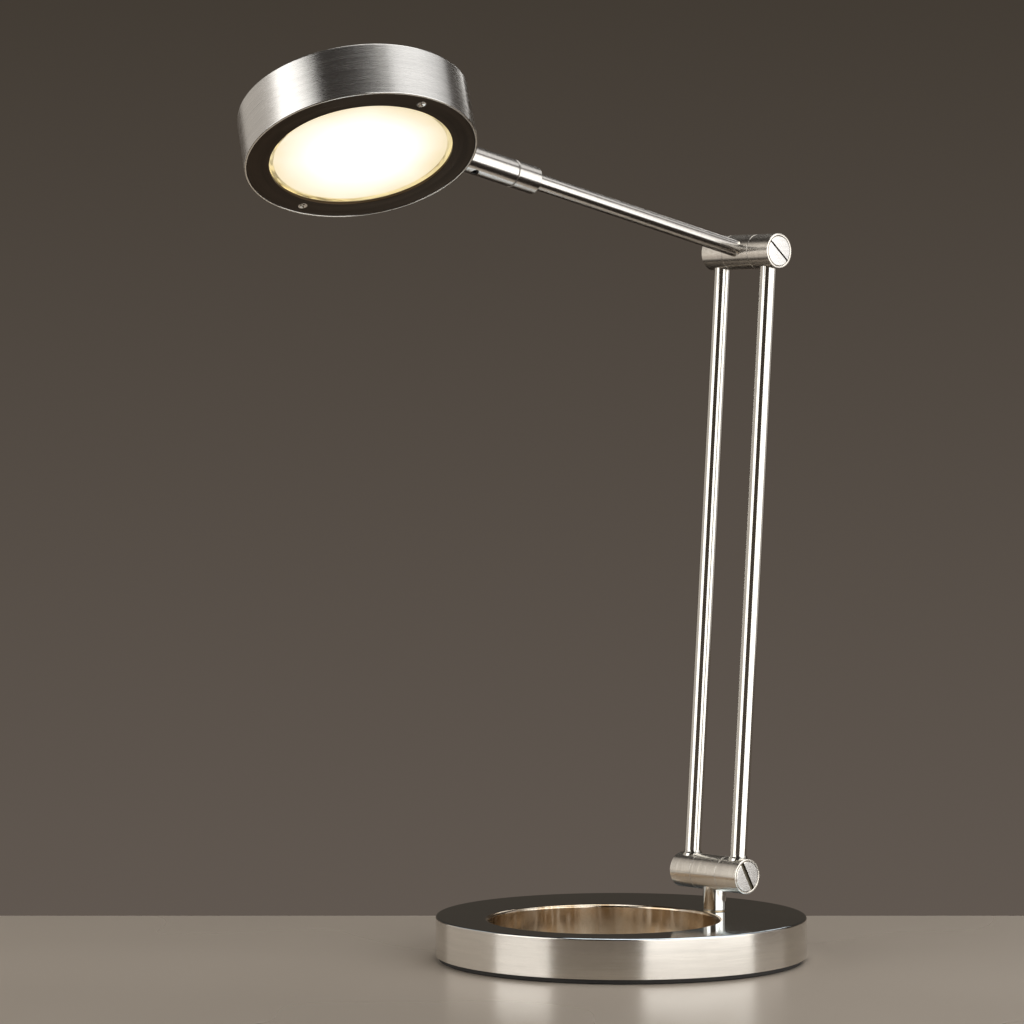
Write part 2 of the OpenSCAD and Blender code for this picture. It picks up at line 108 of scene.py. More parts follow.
ARM_R = 4.25
HEAD_REACH = 266.0
HEAD_ROLL = 26.0
COLLAR_AT = 151.0
COLLAR_L = 14.8
SLEEVE_R = 7.0
SLEEVE_L = 44.3
TUBE_END = 203.0
DOG_GROOVE_AT = 191.0
DOG_GROOVE_SIDE = 1.7  # half its width
DOG_GROOVE_DEPTH = 0.8
RUNNING_GAP = 0.05
SLEEVE_BORE_FROM = 4.5  # from the drum's wall
SLEEVE_ROOT = 3.0  # how far inside the drum it starts, until the drum's round is cut from it
SLEEVE_NECK_R = 3.5
SLEEVE_PASSAGE_R = 2.4
SET_SCREW_AT = 19.5
SET_SCREW_R = 2.0
SET_SCREW_SUNK = 0.4
SOCKET_R = 1.15
SOCKET_DEPTH = 1.2
DOG_R = 1.5
DOG_ROOT = -4.4
DOG_TIP = -3.55

DRUM_R = 55.5
DRUM_WALL = 1.2
DRUM_BOTTOM = -20.0
DRUM_TOP = 7.0
DRUM_ROOF = 5.5
BEZEL_BOTTOM = -19.7
BEZEL_TOP = -18.2
BEZEL_OUT_R = 54.2
BEZEL_IN_R = 43.6
BEZEL_SCREW_X = 48.9
BEZEL_SCREW_TURN = 85.0
BEZEL_HEAD_R = 2.3
BEZEL_SHANK_R = 1.3
BEZEL_SCREW_L = 8.0
BEZEL_SLOT = (0.7, 4.0, 1.4)  # width, length and twice the depth
BEZEL_SLOT_TURN = 40.0
BEZEL_SINK_ROOM = 0.12
BEZEL_SINK_T = 0.9
BOSS_R = 2.8
GLASS_R = 45.5
GLASS_BOTTOM = -17.7
GLASS_TOP = -13.7
INLET_R = 3.2
INLET_BODY_R = 4.4
INLET_BODY_L = 6.0
INLET_FLANGE_R = 5.4
INLET_FLANGE_T = 1.5
INLET_Z = 8.5


# ---- places ----

def turned_about(axis, degrees):
    return Matrix.Rotation(math.radians(degrees), 4, axis)


joints = {joint["name"]: joint for joint in frame["joints"]}
lower_pivot = Vector(joints["rods_tilt"]["pos_m"])
upper_pivot = Vector(joints["arm_tilt"]["pos_m"])
arm_way = Vector(joints["head_roll"]["axis"])
rods_lean = math.degrees(math.atan2(upper_pivot.x - lower_pivot.x, upper_pivot.z - lower_pivot.z))
arm_rise = math.degrees(math.atan2(arm_way.z, -arm_way.x))

pad_low, pad_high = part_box("base_pad")
base_centre = (pad_low + pad_high) / 2 / MM
opening_low, opening_high = frame["record"]["physics"]["openings"][0]["box_m"]
opening_centre = (Vector(opening_low) + Vector(opening_high)) / 2 / MM
inlet_way = (base_centre - opening_centre).to_2d().normalized()

pivot_z = lower_pivot.z / MM
rod_span = (upper_pivot - lower_pivot).length / MM

# Frames with +Z along the turned axis
STANDING = Matrix.Identity(4)
POST_TOP = Matrix.Translation((0, 0, lower_pivot.z)) @ turned_about("X", 180)
LOWER_BARREL = Matrix.Translation(lower_pivot) @ turned_about("X", -90)
UPPER_BARREL = Matrix.Translation(upper_pivot) @ turned_about("X", -90)
RODS = Matrix.Translation(lower_pivot) @ turned_about("Y", rods_lean)
ARM = Matrix.Translation(upper_pivot) @ turned_about("Y", arm_rise - 90)
HEAD = (
    Matrix.Translation(upper_pivot)
    @ turned_about("Y", arm_rise)
    @ Matrix.Translation((-HEAD_REACH * MM, 0, 0))
    @ turned_about("X", -HEAD_ROLL)
)
SLEEVE = HEAD @ turned_about("Y", 90)
INLET = (
    Matrix.Translation(
        (
            base_centre.x * MM + BASE_R * MM * inlet_way.x,
            base_centre.y * MM + BASE_R * MM * inlet_way.y,
            INLET_Z * MM,
        )
    )
    @ Matrix.Rotation(math.atan2(inlet_way.y, inlet_way.x), 4, "Z")
    @ turned_about("Y", 90)
)


# ---- modelling ----

def along(x, y, z):
    """A step in a piece's own frame, from millimetres."""
    return Matrix.Translation((x * MM, y * MM, z * MM))


def turned(outline, sides=SIDES):
    """A bmesh in millimetres: corners (radius, height, rounding) joined up and spun about Z.
    An outline that starts and ends on the axis is left open there and closes at its poles."""
    bm = bmesh.new()
    corners = [bm.verts.new((corner[0], 0, corner[1])) for corner in outline]
    pairs = list(zip(corners, corners[1:] + corners[:1]))
    if outline[0][0] == 0 and outline[-1][0] == 0:
        pairs.pop()
    sides_of_outline = [bm.edges.new(pair) for pair in pairs]
    bmesh.ops.spin(bm, geom=corners + sides_of_outline, cent=(0, 0, 0), axis=(0, 0, 1),
                   dvec=(0, 0, 0), angle=TURN, steps=sides, use_merge=True)
    bmesh.ops.remove_doubles(bm, verts=bm.verts[:], dist=1e-4)
    bmesh.ops.recalc_face_normals(bm, faces=bm.faces[:])
    for rounding in sorted({corner[2] for corner in outline if len(corner) > 2}):
        rings = [c for c in outline if len(c) > 2 and c[2] == rounding]
        edges = [e for e in bm.edges if any(on_ring(e, c) for c in rings)]
        soften(bm, edges, rounding)
    return bm


def on_ring(edge, corner):
    """Whether both ends of an edge lie on the circle that a corner of the outline makes."""
    return all(
        abs(v.co.z - corner[1]) < 1e-3 and abs(v.co.xy.length - corner[0]) < 1e-3
        for v in edge.verts
    )


def soften(bm, edges, rounding):
    """Rounds edges, in three steps."""
    bmesh.ops.bevel(bm, geom=edges, offset=rounding, offset_type="OFFSET", segments=3,
                    profile=0.5, affect="EDGES", clamp_overlap=True, material=-1)


def tube(inner, outer, low, high, rounding=0.3, sides=SIDES):
    """A turned tube, or a turned rod where the inner radius is 0."""
    rim = (inner, low), (outer, low, rounding), (outer, high, rounding), (inner, high)
    return turned(rim, sides)


def carried(circles, sides=SIDES):
    """A bmesh made by carrying a circle through others (centre, radius, height) and back to
    the first."""
    bm = bmesh.new()
    centre, radius, height = circles[0]
    made = bmesh.ops.create_circle(
        bm, segments=sides, radius=radius,
        matrix=Matrix.Translation((centre.x, centre.y, height)))
    edges = list({edge for vert in made["verts"] for edge in vert.link_edges})
    for after in circles[1:] + circles[:1]:
        grown = bmesh.ops.extrude_edge_only(bm, edges=edges)["geom"]
        edges = [part for part in grown if isinstance(part, bmesh.types.BMEdge)]
        ring = [part for part in grown if isinstance(part, bmesh.types.BMVert)]
        growth = after[1] / radius
        bmesh.ops.transform(
            bm, verts=ring,
            matrix=Matrix.Translation((after[0].x, after[0].y, after[2]))
            @ Matrix.Diagonal((growth, growth, 1, 1))
            @ Matrix.Translation((-centre.x, -centre.y, -height)))
        centre, radius, height = after
    bmesh.ops.remove_doubles(bm, verts=bm.verts[:], dist=1e-4)
    bmesh.ops.recalc_face_normals(bm, faces=bm.faces[:])
    return bm


def wrap(bm, centre_of=None):
    """Adds the map that the turned finishes follow."""
    layer = bm.loops.layers.uv.new(TURNING_MAP)
    for face in bm.faces:
        centre = centre_of(face) if centre_of else Vector((0, 0, 0))
        middle = face.calc_center_median() - centre
        facing = math.atan2(middle.y, middle.x)
        for loop in face.loops:
            spot = loop.vert.co - centre
            reach = spot.xy.length
            turn = math.atan2(spot.y, spot.x) if reach > 1e-3 else facing
            turn += TURN * round((facing - turn) / TURN)
            loop[layer].uv = (turn / TURN, (reach + spot.z) / MAP_SPAN)


def link(name, bm, place):
    """A new object at the origin, with the bmesh's millimetres placed in its mesh."""
    bmesh.ops.transform(bm, matrix=place @ Matrix.Scale(MM, 4), verts=bm.verts[:])
    mesh = bpy.data.meshes.new(name)
    bm.to_mesh(mesh)
    bm.free()
    made = bpy.data.objects.new(name, mesh)
    bpy.context.scene.collection.objects.link(made)
    return made


def drill(place, radius, low, high, sides=SMALL_SIDES):
    """A cylinder to cut away, from one height to another in its frame."""
    bm = bmesh.new()
    bmesh.ops.create_cone(
        bm, cap_ends=True, segments=sides, radius1=radius, radius2=radius, depth=high - low,
        matrix=Matrix.Translation((0, 0, (low + high) / 2)))
    return link("cutter", bm, place)


def block(place, size, middle, finish=0):
    """A box to cut away, with its size and its middle in its frame. finish is the number of
    the finish that the cut takes in the piece."""
    bm = bmesh.new()
    bmesh.ops.create_cube(
        bm, size=1, matrix=Matrix.Translation(middle) @ Matrix.Diagonal((*size, 1)))
    for face in bm.faces:
        face.material_index = finish
    return link("cutter", bm, place)


def cut_away(made, cutters):
    """Takes the cutters out of an object and removes them."""
    for cutter in cutters:
        cut = made.modifiers.new("cut", "BOOLEAN")
        cut.operation = "DIFFERENCE"
        cut.solver = "EXACT"
        cut.object = cutter
    bpy.context.view_layer.update()
    whole = made.data
    made.data = bpy.data.meshes.new_from_object(
        made.evaluated_get(bpy.context.evaluated_depsgraph_get()))
    made.data.name = whole.name
    made.modifiers.clear()
    bpy.data.meshes.remove(whole)
    for cutter in cutters:
        bpy.data.meshes.remove(cutter.data)


def piece(name, bm, place, body, finishes, stands_for=(), cutters=(), choose=None,
          centre_of=None):
    """A finished piece: mapped, placed, cut, shaded, given its finishes and hung on its body.
    choose gives the number of a face's finish from its middle and its normal, in the piece's
    own frame."""
    wrap(bm, centre_of)
    if choose:
        for face in bm.faces:
            face.material_index = choose(face.calc_center_median(), face.normal)
    made = link(name, bm, place)
    for finish in finishes:
        made.data.materials.append(finish)
    if cutters:
        cut_away(made, cutters)
    made.data.shade_smooth()
    made.data.set_sharp_from_angle(angle=math.radians(SHARP_ANGLE))
    even = made.modifiers.new("even_shading", "WEIGHTED_NORMAL")
    even.keep_sharp = True
    even.weight = 50
    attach(made, body)
    if stands_for:
        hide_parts(*stands_for)
    return made


# ---- finishes ----

BROADER = 0.22  # how many broad lines a brushed finish has to each fine one
MIX_A, MIX_B, MIX_OUT = 6, 7, 2  # the colour sockets of a Mix node


class Recipe:
    """The node tree of one finish, with a Principled shader at its end."""

    def __init__(self, name):
        self.material = bpy.data.materials.new(name)
        self.material.use_nodes = True
        self.tree = self.material.node_tree
        self.tree.nodes.clear()
        self.shader = self.add("ShaderNodeBsdfPrincipled")
        end = self.add("ShaderNodeOutputMaterial")
        self.join(self.shader.outputs["BSDF"], end.inputs["Surface"])

    def add(self, kind, **settings):
        node = self.tree.nodes.new(kind)
        for key, value in settings.items():
            setattr(node, key, value)
        return node

    def join(self, source, target):
        self.tree.links.new(source, target)

    def set(self, **values):
        """Sets constant values on the shader's own sockets."""
        for key, value in values.items():
            self.shader.inputs[key.replace("_", " ")].default_value = value

    def where(self, mapped, scale, turn=(0, 0, 0)):
        """Coordinates on the turned map, or in the object's metres, stretched and turned."""
        if mapped:
            start = self.add("ShaderNodeUVMap", uv_map=TURNING_MAP).outputs["UV"]
        else:
            start = self.add("ShaderNodeTexCoord").outputs["Object"]
        mapping = self.add("ShaderNodeMapping")
        mapping.inputs["Scale"].default_value = scale
        mapping.inputs["Rotation"].default_value = turn
        self.join(start, mapping.inputs["Vector"])
        return mapping.outputs["Vector"]

    def noise(self, where, detail=3.0, roughness=0.5, distortion=0.0):
        node = self.add("ShaderNodeTexNoise")
        node.inputs["Scale"].default_value = 1.0
        node.inputs["Detail"].default_value = detail
        node.inputs["Roughness"].default_value = roughness
        node.inputs["Distortion"].default_value = distortion
        self.join(where, node.inputs["Vector"])
        return node.outputs["Fac"]

    def between(self, value, low, high, from_low=0.3, from_high=0.7):
        node = self.add("ShaderNodeMapRange")
        for key, number in (("From Min", from_low), ("From Max", from_high),
                            ("To Min", low), ("To Max", high)):
            node.inputs[key].default_value = number
        self.join(value, node.inputs["Value"])
        return node.outputs["Result"]

    def blend(self, value, first, second):
        """One colour where the value is 0 and another where it is 1."""
        node = self.add("ShaderNodeMix", data_type="RGBA")
        self.join(value, node.inputs["Factor"])
        for socket, colour in ((node.inputs[MIX_A], first), (node.inputs[MIX_B], second)):
            if isinstance(colour, tuple):
                socket.default_value = (*colour, 1)
            else:
                self.join(colour, socket)
        return node.outputs[MIX_OUT]

    def relief(self, height, distance, strength):
        node = self.add("ShaderNodeBump")
        node.inputs["Strength"].default_value = strength
        node.inputs["Distance"].default_value = distance
        self.join(height, node.inputs["Height"])
        return node.outputs["Normal"]


def shade_of(colour, factor):
    return tuple(min(1.0, part * factor) for part in colour)


def brushed(name, colour, roughness, spread=0.06, round_count=5.0, lines=1.4, contrast=0.10,
            depth=0.0003, anisotropy=0.6, straight=None):
    """Metal with fine lines round its turned map. lines is how many there are in a millimetre.
    straight gives a scale and a turn in metres for lines that run straight instead."""
    recipe = Recipe(name)
    if straight:
        scale, turn = straight
        fine = recipe.where(False, scale, turn)
        broad = recipe.where(False, tuple(part * BROADER for part in scale), turn)
    else:
        fine = recipe.where(True, (round_count * 3, lines * MAP_SPAN, 1))
        broad = recipe.where(True, (round_count, lines * MAP_SPAN * BROADER, 1))
        tangent = recipe.add("ShaderNodeTangent", direction_type="UV_MAP", uv_map=TURNING_MAP)
        recipe.join(tangent.outputs["Tangent"], recipe.shader.inputs["Tangent"])
        recipe.set(Anisotropic=anisotropy, Anisotropic_Rotation=0.25)
    lines_fine = recipe.noise(fine, detail=4.0, roughness=0.7)
    lines_broad = recipe.noise(broad, detail=3.0, roughness=0.55)
    smudge = recipe.noise(recipe.where(False, (38, 38, 38)), detail=4.0)
    tone = recipe.blend(recipe.between(lines_broad, 0, 1), shade_of(colour, 1 - contrast),
                        shade_of(colour, 1 + contrast))
    dulled = recipe.blend(recipe.between(smudge, 0, 0.35, 0.52, 0.75), tone,
                          shade_of(colour, 0.92))
    recipe.join(dulled, recipe.shader.inputs["Base Color"])
    recipe.join(recipe.between(lines_fine, roughness - spread, roughness + spread),
                recipe.shader.inputs["Roughness"])
    recipe.join(recipe.relief(lines_fine, depth * MM, 0.35), recipe.shader.inputs["Normal"])
    recipe.set(Metallic=1.0)
    return recipe.material


def polished(name, colour, roughness, haze=0.04):
    """Bright plate with a faint haze and an almost flat ripple."""
    recipe = Recipe(name)
    haze_map = recipe.noise(recipe.where(False, (70, 70, 70)), detail=5.0)
    drift = recipe.noise(recipe.where(False, (14, 14, 14)), detail=2.0)
    tone = recipe.blend(recipe.between(haze_map, 0, 1), colour, shade_of(colour, 0.93))
    recipe.join(tone, recipe.shader.inputs["Base Color"])
    recipe.join(recipe.between(haze_map, roughness, roughness + haze),
                recipe.shader.inputs["Roughness"])
    recipe.join(recipe.relief(drift, 0.6 * MM, 0.5), recipe.shader.inputs["Normal"])
    recipe.set(Metallic=1.0)
    return recipe.material


def painted_reflection_plate(name, colour, light, roughness):
    """Bright plate with painted reflections: uneven brown and pale streaks across its turned map stand for what
    the plate mirrors.
    """
    recipe = Recipe(name)
    broad = recipe.noise(recipe.where(True, (22, 2, 1)), detail=2.0)
    fine = recipe.noise(recipe.where(True, (130, 5, 1)), detail=4.0, roughness=0.6)
    tone = recipe.blend(recipe.between(broad, 0, 1, 0.38, 0.62), colour, light)
    recipe.join(recipe.blend(recipe.between(fine, 0, 0.6, 0.50, 0.66), tone, light),
                recipe.shader.inputs["Base Color"])
    recipe.join(recipe.between(fine, roughness, roughness + 0.14),
                recipe.shader.inputs["Roughness"])
    recipe.join(recipe.relief(fine, 0.00004, 0.4), recipe.shader.inputs["Normal"])
    recipe.set(Metallic=1.0)
    return recipe.material


def grained(name, colour, other, roughness, grain=900.0, depth=0.00012, metallic=0.0):
    """A moulded, cast or painted finish: two tones in patches, with a fine grain in relief."""
    spread = 0.08
    recipe = Recipe(name)
    patches = recipe.noise(recipe.where(False, (grain * 0.08,) * 3), detail=4.0)
    grains = recipe.noise(recipe.where(False, (grain,) * 3), detail=3.0, roughness=0.6)
    recipe.join(recipe.blend(recipe.between(patches, 0, 1), colour, other),
                recipe.shader.inputs["Base Color"])
    recipe.join(recipe.between(grains, roughness - spread, roughness + spread),
                recipe.shader.inputs["Roughness"])
    recipe.join(recipe.relief(grains, depth, 0.6), recipe.shader.inputs["Normal"])
    recipe.set(Metallic=metallic)
    return recipe.material


def lit_glass(name):
    """Frosted glass lit from behind: white in the middle and warmer towards its edge."""
    recipe = Recipe(name)
    across = recipe.add("ShaderNodeUVMap", uv_map=TURNING_MAP)
    parts = recipe.add("ShaderNodeSeparateXYZ")
    recipe.join(across.outputs["UV"], parts.inputs["Vector"])
    reach = parts.outputs["Y"]
    warm_from, warm_to = 22.0, 42.5
    warmth = recipe.between(reach, 0, 1, (GLASS_BOTTOM + warm_from) / MAP_SPAN,
                            (GLASS_BOTTOM + warm_to) / MAP_SPAN)
    bloom = recipe.noise(recipe.where(False, (30, 30, 30)), detail=2.0)
    frost = recipe.noise(recipe.where(False, (2600, 2600, 2600)), detail=2.0)
    uneven = recipe.add("ShaderNodeMath", operation="MULTIPLY")
    recipe.join(warmth, uneven.inputs[0])
    recipe.join(recipe.between(bloom, 0.55, 1.0), uneven.inputs[1])
    glow = recipe.blend(uneven.outputs["Value"], (1.0, 0.98, 0.93), (1.0, 0.82, 0.48))
    recipe.join(glow, recipe.shader.inputs["Emission Color"])
    recipe.join(recipe.between(uneven.outputs["Value"], 1.12, 0.74, 0, 1),
                recipe.shader.inputs["Emission Strength"])
    recipe.join(recipe.blend(frost, (0.42, 0.38, 0.30), (0.48, 0.44, 0.36)),
                recipe.shader.inputs["Base Color"])
    recipe.join(recipe.between(frost, 0.42, 0.58), recipe.shader.inputs["Roughness"])
    recipe.join(recipe.relief(frost, 0.00003, 0.5), recipe.shader.inputs["Normal"])
    return recipe.material


def clear_edge(name):
    """The polished border of the glass, which pipes the light in yellow and olive streaks."""
    recipe = Recipe(name)
    streaks = recipe.noise(recipe.where(True, (26, 60, 1)), detail=3.0, roughness=0.65,
                           distortion=0.4)
    patches = recipe.noise(recipe.where(True, (5, 8, 1)), detail=1.0)
    dark = recipe.blend(recipe.between(streaks, 0, 1, 0.46, 0.56), (0.13, 0.09, 0.02),
                        (1.0, 0.76, 0.32))
    glow = recipe.blend(recipe.between(patches, 0, 1, 0.44, 0.56), (1.0, 0.84, 0.46), dark)
    recipe.join(glow, recipe.shader.inputs["Emission Color"])
    recipe.join(recipe.between(streaks, 0.55, 0.9), recipe.shader.inputs["Emission Strength"])
    recipe.join(recipe.blend(streaks, (0.95, 0.85, 0.55), (1.0, 0.97, 0.85)),
                recipe.shader.inputs["Base Color"])
    recipe.join(recipe.between(patches, 0.03, 0.09), recipe.shader.inputs["Roughness"])
    recipe.set(IOR=1.5, Coat_Weight=0.6, Coat_Roughness=0.03)
    return recipe.material


NICKEL = (0.84, 0.80, 0.73)
slate_mirror = polished("slate_mirror", (0.74, 0.84, 0.92), 0.05, haze=0.05)
# Painted reflection: brown and pale streaks on the opening's rim and inner wall stand for the surroundings
# mirrored there.
nickel_painted_reflection = painted_reflection_plate("nickel_painted_reflection", (0.62, 0.47, 0.31), (0.95, 0.86, 0.73), 0.10)
rod_nickel = polished("rod_nickel", (0.80, 0.78, 0.73), 0.07)
rim_nickel = polished("rim_nickel", (0.88, 0.85, 0.79), 0.12)
satin_wall = brushed("satin_wall", (0.76, 0.73, 0.68), 0.20, round_count=9, lines=1.6,
                     anisotropy=0.75, contrast=0.05)
satin_turned = brushed("satin_turned", NICKEL, 0.24, spread=0.04, round_count=1,
                       lines=2.6, contrast=0.07, anisotropy=0.6)
satin_sleeve = brushed("satin_sleeve", (0.76, 0.73, 0.69), 0.22, spread=0.04,
                       round_count=1, lines=2.6, contrast=0.05, anisotropy=0.6)
drum_brushed = brushed("drum_brushed", (0.76, 0.75, 0.73), 0.26, spread=0.04, round_count=3,
                       lines=2.2, contrast=0.05, anisotropy=0.75)
roof_turned = brushed("roof_turned", (0.72, 0.71, 0.68), 0.30, round_count=3, lines=1.0,
                      anisotropy=0.7)
bezel_turned = brushed("bezel_turned", (0.062, 0.045, 0.031), 0.34, spread=0.08,
                       round_count=3, lines=1.3, contrast=0.22, anisotropy=0.6)
screw_face = brushed("screw_face", (0.90, 0.89, 0.87), 0.26, contrast=0.07, depth=0.001,
                     straight=((260, 260, 5200), (0, math.radians(45), 0)))
plated_steel = brushed("plated_steel", (0.62, 0.62, 0.62), 0.32,
                       straight=((1200, 1200, 400), (0, 0, 0)))
slot_shadow = grained("slot_shadow", (0.19, 0.165, 0.12), (0.25, 0.22, 0.17), 0.45,
                      metallic=1.0)
black_oxide = grained("black_oxide", (0.035, 0.034, 0.036), (0.06, 0.055, 0.05), 0.38,
                      metallic=1.0)
bronze = brushed("bronze", (0.46, 0.34, 0.21), 0.30, straight=((500, 4000, 500), (0, 0, 0)))
cast_iron = grained("cast_iron", (0.13, 0.13, 0.13), (0.19, 0.185, 0.18), 0.6, grain=500,
                    depth=0.0004, metallic=0.6)
pad_rubber = grained("pad_rubber", (0.022, 0.021, 0.021), (0.034, 0.032, 0.03), 0.72)
lead_sheath = grained("lead_sheath", (0.05, 0.05, 0.05), (0.085, 0.085, 0.085), 0.5)
nylon = grained("nylon", (0.03, 0.028, 0.026), (0.05, 0.047, 0.044), 0.55)
clear_silicone = grained("clear_silicone", (0.72, 0.66, 0.48), (0.80, 0.75, 0.58), 0.35)
white_enamel = grained("white_enamel", (0.88, 0.88, 0.86), (0.93, 0.93, 0.91), 0.45)
solder_mask = grained("solder_mask", (0.84, 0.84, 0.82), (0.90, 0.90, 0.88), 0.3)
phosphor = grained("phosphor", (0.90, 0.70, 0.20), (0.98, 0.84, 0.34), 0.4)
spun_aluminium = brushed("spun_aluminium", (0.75, 0.76, 0.77), 0.34,
                         straight=((900, 3000, 900), (0, 0, 0)))
driver_case = grained("driver_case", (0.84, 0.84, 0.82), (0.90, 0.90, 0.88), 0.5)
frosted = lit_glass("frosted_glass")
clear_border = clear_edge("clear_border")

NODE_FINISHES = {
    "base_weight": cast_iron, "base_plate": plated_steel, "base_plate_screws": plated_steel,
    "swivel_bush": bronze, "base_lead": lead_sheath, "lower_bush": bronze,
    "post_spring_washer": plated_steel, "post_nut": plated_steel, "post_lead": lead_sheath,
    "friction_washers": nylon, "spring_washers": plated_steel, "rod_lead": lead_sheath,
    "upper_bush": bronze, "arm_lead": lead_sheath, "sleeve_nut": plated_steel,
    "glass_gasket": clear_silicone, "reflector": white_enamel, "led_board": solder_mask,
    "leds": phosphor, "heat_spreader": spun_aluminium, "led_driver": driver_case,
    "head_lead": lead_sheath,
}
for node, finish in NODE_FINISHES.items():
    slots = frame["nodes"][node].data.materials
    slots.clear()
    slots.append(finish)


# ---- base ----

def quarter(centre, radius, height, edge, inward, steps=5):
    """Circles round a quarter of an edge, from the wall up onto the top. inward is -1 where
    the wall is the outer one and 1 where it is the opening's."""
    for step in range(steps + 1):
        angle = math.pi / 2 * step / steps
        yield (centre, radius + inward * edge * (1 - math.cos(angle)),
               height - edge * (1 - math.sin(angle)))


def make_base_ring():
    outer = list(quarter(base_centre, BASE_R, BASE_TOP, EDGE_R, -1))
    rim = list(quarter(opening_centre, OPENING_R, BASE_TOP, RIM_R, 1, steps=7))
    roof = BASE_TOP - SHELL_WALL
    circles = [
        (base_centre, BASE_R, PAD_T),
        *outer,
        *reversed(rim),
        (opening_centre, OPENING_R, PAD_T),
        (opening_centre, OPENING_R + SHELL_WALL, PAD_T),
        (opening_centre, OPENING_R + SHELL_WALL, roof),
        (base_centre, BASE_R - SHELL_WALL, roof),
        (base_centre, BASE_R - SHELL_WALL, PAD_T),
    ]

    def nearer_centre(face):
        spot = face.calc_center_median()
        in_opening = (spot - opening_centre).xy.length < OPENING_R + RIM_R + 0.1
        return opening_centre if in_opening else base_centre

    def finish_of(spot, normal):
        if (spot - base_centre).xy.length > BASE_R - EDGE_R and normal.z < 0.6:
            return 0
        # The opening's rim and inner wall take the painted reflection.
        return 2 if (spot - opening_centre).xy.length < OPENING_R + RIM_R + 0.05 else 1

    piece("base_ring", carried(circles, 256), STANDING, "base",
          [satin_wall, slate_mirror, nickel_painted_reflection], ["base_shell"],
          [drill(STANDING, BUSH_R, roof - PAST, BASE_TOP + PAST),
           drill(INLET, INLET_BODY_R, -SHELL_WALL - PAST, PAST)],
          finish_of, nearer_centre)


def make_pad():
    outer_r = BASE_R - PAD_INSET
    inner_r = OPENING_R + PAD_INSET
    edge, foot, groove = 0.6, 0.0, 0.7
    circles = [
        (base_centre, outer_r, PAD_T), (base_centre, outer_r, foot + edge),
        (base_centre, outer_r - edge, foot), (base_centre, outer_r - 4, foot),
        (base_centre, outer_r - 4.6, groove), (base_centre, outer_r - 6.4, groove),
        (base_centre, outer_r - 7, foot), (opening_centre, inner_r + edge, foot),
        (opening_centre, inner_r, foot + edge), (opening_centre, inner_r, PAD_T),
    ]
    piece("pad_ring", carried(circles, 192), STANDING, "base", [pad_rubber],
          ["base_pad"])


def make_grommet():
    bm = turned([
        (INLET_R, -INLET_BODY_L, 0.3), (INLET_BODY_R, -INLET_BODY_L, 0.3), (INLET_BODY_R, 0.15),
        (INLET_FLANGE_R, 0.2, 0.2), (INLET_FLANGE_R, INLET_FLANGE_T, 0.5),
        (INLET_R, INLET_FLANGE_T, 0.5)], SMALL_SIDES)
    piece("inlet_grommet", bm, INLET, "base", [pad_rubber], ["cord_grommet"])


# ---- post and barrels ----

def make_post():
    column = tube(SPIGOT_R + HAIR, POST_R, POST_FOOT, pivot_z - 2, 0.35)
    core = tube(PASSAGE_R, SPIGOT_R, NUT_BOTTOM, pivot_z - EYE_SOCKET_FLOOR, 0.25, SMALL_SIDES)
    piece("post_column", column, STANDING, "post", [rod_nickel],
                 ["post"],
          [drill(LOWER_BARREL, BARREL_R + HAIR, -POST_R * 2, POST_R * 2, SIDES)])
    piece("post_spigot", core, STANDING, "post", [rod_nickel])


def make_barrel(end, place, eye_body, eye_node, socket_place, socket_r, names):
    """The three knuckles of one barrel. Each is bored for the pivot screw."""
    eye_end, lip = EYE_W / 2, EYE_W / 2 + LIP
    eye = turned([
        (EYE_BORE_R, -eye_end), (LIP_R, -eye_end), (LIP_R, -lip), (BARREL_R, -lip, 0.2),
        (BARREL_R, lip, 0.2), (LIP_R, lip), (LIP_R, eye_end), (EYE_BORE_R, eye_end)])
    near = KNUCKLE_Y - LIP
    piece(f"{end}_eye_knuckle", eye, place, eye_body, [satin_turned],
          [eye_node], [drill(socket_place, socket_r, EYE_SOCKET_FLOOR, BARREL_R + PAST)])
    threaded = turned([
        (0, BARREL_END), (BARREL_R, BARREL_END, 0.35), (BARREL_R, near, 0.2), (LIP_R, near),
        (LIP_R, KNUCKLE_Y), (SHANK_R, KNUCKLE_Y), (SHANK_R, THREAD_END), (0, THREAD_END)])
    headed = turned([
        (SHANK_R + SHANK_ROOM, -KNUCKLE_Y), (LIP_R, -KNUCKLE_Y), (LIP_R, -near),
        (BARREL_R, -near, 0.2),
        (BARREL_R, -BARREL_END, 0.35), (COUNTERBORE_R, -BARREL_END, 0.15),
        (COUNTERBORE_R, COUNTERBORE_T - BARREL_END),
        (SHANK_R + SHANK_ROOM, COUNTERBORE_T - BARREL_END)])
    # At the upper end the rods' frame is turned over, so its sides swap
    rod_place, flip = (RODS, 1) if end == "lower" else (
        RODS @ along(0, 0, rod_span) @ turned_about("X", 180), -1)
    for bm, side, name in ((threaded, 1, names[0]), (headed, -1, names[1])):
        rod_socket = rod_place @ along(0, flip * side * ROD_Y, 0)
        piece(f"{name}_turned", bm, place, "rods", [satin_turned], [name],
              [drill(rod_socket, ROD_R, ROD_SOCKET_FLOOR, BARREL_R + PAST)])


def make_pivot_screw(end, place, slot_w, slot_turn):
    head = -BARREL_END
    bm = turned([
        (0, head), (SCREW_HEAD_R, head, 0.35), (SCREW_HEAD_R, head + SCREW_HEAD_T, 0.15),
        (SHANK_R, head + SCREW_HEAD_T), (SHANK_R, THREAD_END - 1, 0.4), (0, THREAD_END - 1)])
    slot_place = place @ along(0, 0, head) @ turned_about("Z", slot_turn)
    piece(f"{end}_slotted_screw", bm, place, "rods",
          [screw_face, rim_nickel, slot_shadow], [f"{end}_pivot_screw"],
          [block(slot_place, (slot_w, 2 * BARREL_R, 2 * SLOT_DEPTH), (0, 0, 0), 2)],
          lambda spot, normal: 0 if normal.z < -0.9 and spot.xy.length < SCREW_FACE_R else 1)


# ---- rods and arm ----

